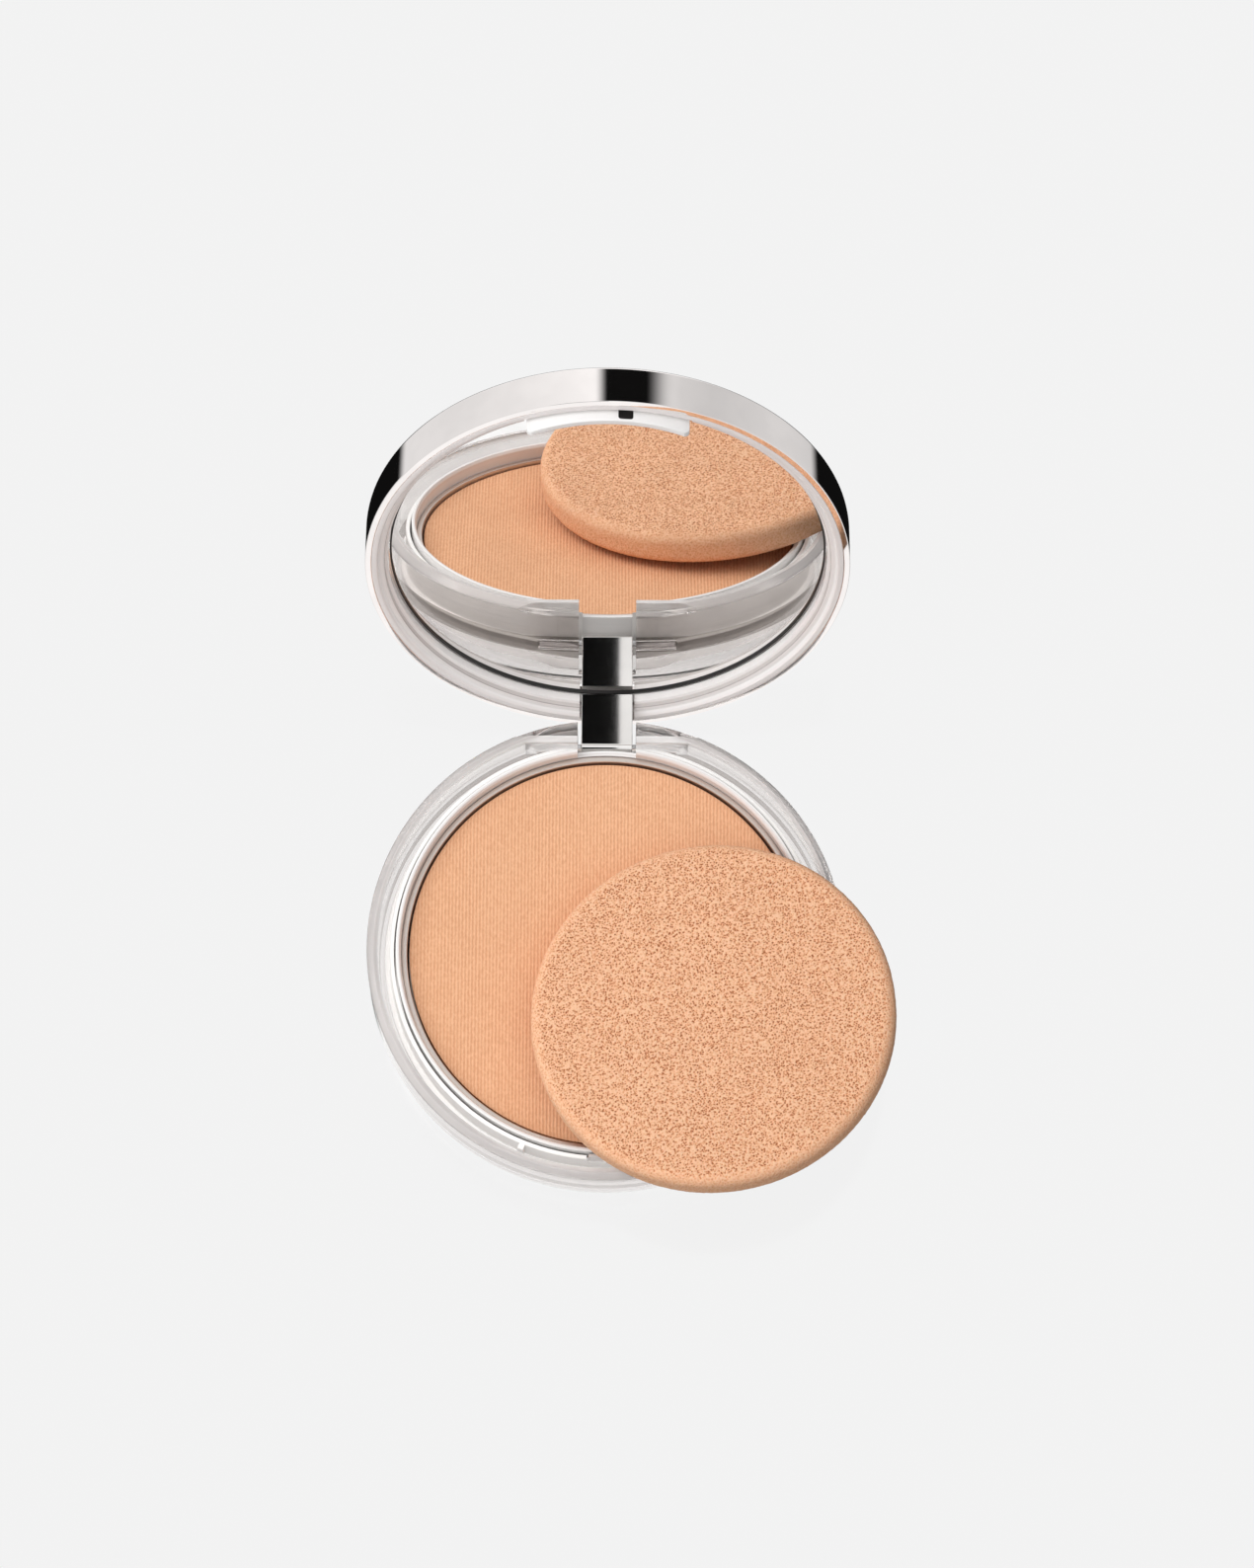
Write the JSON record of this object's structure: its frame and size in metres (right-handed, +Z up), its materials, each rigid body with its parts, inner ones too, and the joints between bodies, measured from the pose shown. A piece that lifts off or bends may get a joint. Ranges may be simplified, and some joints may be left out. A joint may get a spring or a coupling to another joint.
{
  "type": "powder compact",
  "caption": "Round clear-based pressed-powder compact with a mirrored chrome lid on a rear strap hinge, a snap latch at the front and a round foam sponge lying across the rim.",
  "frame": {"origin": "centre of the underside, on the flat face that the compact rests on", "axes": "+Z up out of the powder, -Y towards the latch, +Y towards the hinge, +X to the right when the compact faces the user"},
  "size_m": [0.0841, 0.1184, 0.0739],
  "materials": {
    "clear_plastic": "gloss",
    "deck_plastic": "gloss",
    "collar_plastic": "gloss",
    "pan_metal": "satin",
    "pressed_powder": "matte",
    "adhesive": "matte",
    "label_film": "satin",
    "pin_steel": "satin",
    "lid_metal": "polished",
    "lid_plastic": "gloss",
    "mirror": "polished",
    "gasket_black": "matte",
    "plated_chrome": "polished",
    "foam": "matte"
  },
  "bodies": {
    "base": {"base_shell": "clear_plastic", "base_deck": "deck_plastic", "pan_collar": "collar_plastic", "powder_pan": "pan_metal", "pressed_powder": "pressed_powder", "pan_adhesive": "adhesive", "latch_catch": "collar_plastic", "base_label": "label_film", "hinge_bearing_left": "clear_plastic", "hinge_bearing_right": "clear_plastic", "hinge_pin_left": "pin_steel", "hinge_pin_right": "pin_steel"},
    "lid": {"lid_shell": "lid_metal", "lid_liner": "lid_plastic", "mirror_bezel": "clear_plastic", "mirror_gasket": "gasket_black", "mirror_glass": "mirror", "mirror_adhesive": "adhesive", "latch_tongue": "lid_plastic", "hinge_strap": "plated_chrome"},
    "sponge": {"sponge_applicator": "foam"}
  },
  "joints": [
    {"name": "lid_hinge", "type": "hinge", "parent": "base", "child": "lid", "pos_m": [0, 0.0351, 0.00901], "axis": [1, 0, 0], "range_deg": [0, 112.5]},
    {"name": "sponge_lift", "type": "slide", "parent": "base", "child": "sponge", "axis": [0.752, -0.5515, 0.361], "range_m": [0, 0.0622]}
  ],
  "couplings": [
    {"joint": "sponge_lift", "follows": "lid_hinge", "m_per_rad": 0.0316}
  ]
}
